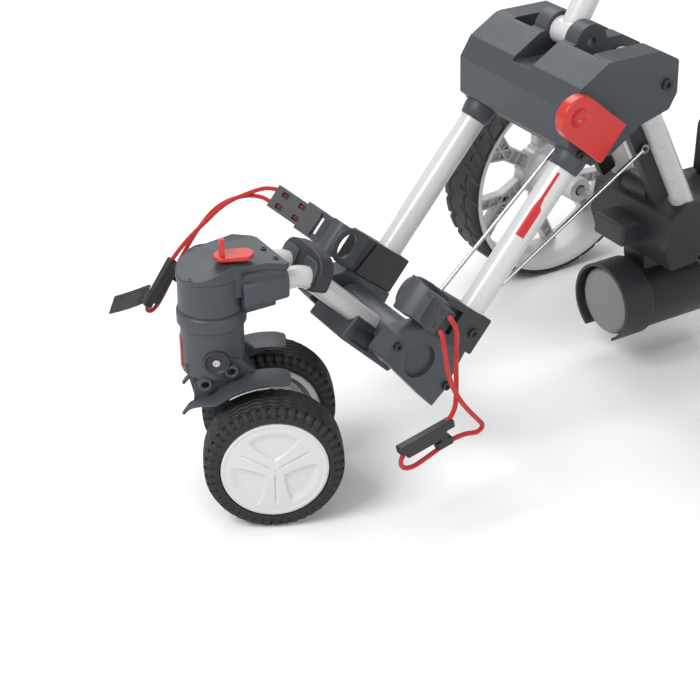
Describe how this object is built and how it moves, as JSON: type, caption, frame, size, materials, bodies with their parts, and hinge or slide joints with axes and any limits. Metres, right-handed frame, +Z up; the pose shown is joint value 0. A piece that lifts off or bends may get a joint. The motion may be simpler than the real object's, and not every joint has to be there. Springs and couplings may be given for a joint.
{
  "type": "electric golf trolley",
  "caption": "Three-wheel electric golf bag trolley with folding front fork, folding rear drive and folding mast.",
  "frame": {"origin": "on the ground under the middle of the trolley's footprint box, rest pose unfolded", "axes": "+X to the trolley's left along the rear axle, +Y towards the rear wheels and handle, +Z up"},
  "size_m": [0.606, 0.9038, 0.9619],
  "materials": {
    "white_paint": "glossy enamel on tube",
    "grey_plastic": "fine moulded texture",
    "black_plastic": "moulded",
    "red_plastic": "satin",
    "wheel_plastic": "satin white",
    "tread_rubber": "matte",
    "steel": "turned",
    "chrome_rod": "polished",
    "bronze": "cut teeth",
    "cast_alloy": "cast",
    "motor_gloss": "gloss black sleeve",
    "cord_red": "braided sleeve over rubber",
    "webbing": "woven tape"
  },
  "bodies": {
    "frame": {"side_tube_left": "white_paint", "side_tube_right": "white_paint", "clamp_block_left": "grey_plastic", "clamp_block_right": "grey_plastic", "hub_end_left": "grey_plastic", "hub_end_right": "grey_plastic", "hinge_pins": "steel", "frame_bolts": "black_plastic", "upper_hub": "grey_plastic", "bag_arm_left": "grey_plastic", "bag_arm_right": "grey_plastic", "anchor_plate_left": "grey_plastic", "anchor_plate_right": "grey_plastic", "elastic_cord_left": "cord_red", "elastic_cord_right": "cord_red", "cord_hook_left": "black_plastic", "cord_hook_right": "black_plastic", "webbing_tab": "webbing"},
    "front_fork": {"fork_carrier": "grey_plastic", "fork_tube_left": "white_paint", "fork_tube_right": "white_paint", "tube_clip": "grey_plastic", "head_shell": "grey_plastic", "kingpin": "steel"},
    "lever": {"swivel_lever": "red_plastic"},
    "plunger": {"lock_pin": "steel"},
    "yoke": {"front_yoke": "grey_plastic", "yoke_trim": "red_plastic", "fender_left": "grey_plastic", "fender_right": "grey_plastic", "front_axle": "steel"},
    "front_wheel_left": {"front_tyre_left": "tread_rubber", "front_rim_left": "wheel_plastic"},
    "front_wheel_right": {"front_tyre_right": "tread_rubber", "front_rim_right": "wheel_plastic"},
    "rear_frame": {"rear_leg_left": "white_paint", "rear_leg_right": "white_paint", "leg_channels": "black_plastic", "rear_body": "grey_plastic", "gearbox_case": "black_plastic", "motor_can": "motor_gloss", "motor_end_bell": "cast_alloy", "motor_collar": "grey_plastic"},
    "armature": {"worm_shaft": "steel"},
    "drive_axle": {"rear_axle": "steel", "worm_wheel": "bronze"},
    "rear_wheel_left": {"rear_tyre_left": "tread_rubber", "rear_rim_left": "wheel_plastic"},
    "rear_wheel_right": {"rear_tyre_right": "tread_rubber", "rear_rim_right": "wheel_plastic"},
    "link": {"fold_rod": "chrome_rod"},
    "battery": {"battery_pack": "black_plastic"},
    "release": {"release_rod": "chrome_rod"},
    "latch": {"latch_lever": "red_plastic"},
    "mast": {"mast_tube": "white_paint", "handle_bar": "black_plastic", "control_pod": "grey_plastic", "upper_bag_rest": "grey_plastic"},
    "dial": {"speed_dial": "red_plastic"},
    "button": {"power_button": "red_plastic"}
  },
  "joints": [
    {"name": "front_fold", "type": "hinge", "parent": "frame", "child": "front_fork", "pos_m": [0, -0.19511, 0.156], "axis": [1, 0, 0], "range_deg": [0, 90]},
    {"name": "lever_turn", "type": "hinge", "parent": "front_fork", "child": "lever", "pos_m": [0.017, -0.38411, 0.3003], "axis": [0, 0, 1], "range_deg": [0, 90]},
    {"name": "plunger_drop", "type": "slide", "parent": "front_fork", "child": "plunger", "axis": [0, 0, -1], "range_m": [0, 0.008]},
    {"name": "yoke_swivel", "type": "hinge", "parent": "front_fork", "child": "yoke", "pos_m": [0, -0.40511, 0.23], "axis": [0, 0, 1], "continuous": true},
    {"name": "front_roll_left", "type": "hinge", "parent": "yoke", "child": "front_wheel_left", "pos_m": [0.07787, -0.374, 0.078], "axis": [0.9033, -0.4289, 0], "continuous": true},
    {"name": "front_roll_right", "type": "hinge", "parent": "yoke", "child": "front_wheel_right", "pos_m": [-0.02511, -0.3251, 0.078], "axis": [0.9033, -0.4289, 0], "continuous": true},
    {"name": "rear_fold", "type": "hinge", "parent": "frame", "child": "rear_frame", "pos_m": [0, 0.11289, 0.441], "axis": [1, 0, 0], "range_deg": [-36, 0]},
    {"name": "link_swing", "type": "hinge", "parent": "rear_frame", "child": "link", "pos_m": [0.06, 0.14589, 0.327], "axis": [1, 0, 0], "range_deg": [0, 38.6]},
    {"name": "axle_spin", "type": "hinge", "parent": "rear_frame", "child": "drive_axle", "pos_m": [0, 0.25589, 0.15], "axis": [1, 0, 0], "continuous": true},
    {"name": "armature_spin", "type": "hinge", "parent": "rear_frame", "child": "armature", "pos_m": [0, 0.25589, 0.088], "axis": [0, 1, 0], "continuous": true},
    {"name": "rear_roll_left", "type": "hinge", "parent": "rear_frame", "child": "rear_wheel_left", "pos_m": [0.265, 0.25589, 0.15], "axis": [1, 0, 0], "continuous": true},
    {"name": "rear_roll_right", "type": "hinge", "parent": "rear_frame", "child": "rear_wheel_right", "pos_m": [-0.265, 0.25589, 0.15], "axis": [1, 0, 0], "continuous": true},
    {"name": "battery_lift", "type": "slide", "parent": "rear_frame", "child": "battery", "axis": [0, 0, 1], "range_m": [0, 0.12]},
    {"name": "latch_turn", "type": "hinge", "parent": "frame", "child": "latch", "pos_m": [0.11, 0.04628, 0.39629], "axis": [-1, 0, 0], "range_deg": [0, 25]},
    {"name": "release_pull", "type": "slide", "parent": "frame", "child": "release", "axis": [0, 0.7335, 0.6797], "range_m": [0, 0.004]},
    {"name": "mast_fold", "type": "hinge", "parent": "frame", "child": "mast", "pos_m": [0, 0.06989, 0.468], "axis": [1, 0, 0], "range_deg": [0, 125]},
    {"name": "dial_turn", "type": "hinge", "parent": "mast", "child": "dial", "pos_m": [0.014, 0.32318, 0.93585], "axis": [0, -0.4695, -0.8829], "range_deg": [0, 270]},
    {"name": "button_press", "type": "slide", "parent": "mast", "child": "button", "axis": [0, -0.4695, -0.8829], "range_m": [0, 0.0015], "stiffness_N_per_m": 600}
  ],
  "couplings": [
    {"joint": "plunger_drop", "follows": "lever_turn", "m_per_rad": 0.005093},
    {"joint": "link_swing", "follows": "rear_fold", "ratio": -1.0722},
    {"joint": "axle_spin", "follows": "armature_spin", "ratio": 0.05},
    {"joint": "release_pull", "follows": "latch_turn", "m_per_rad": 0.009167}
  ]
}
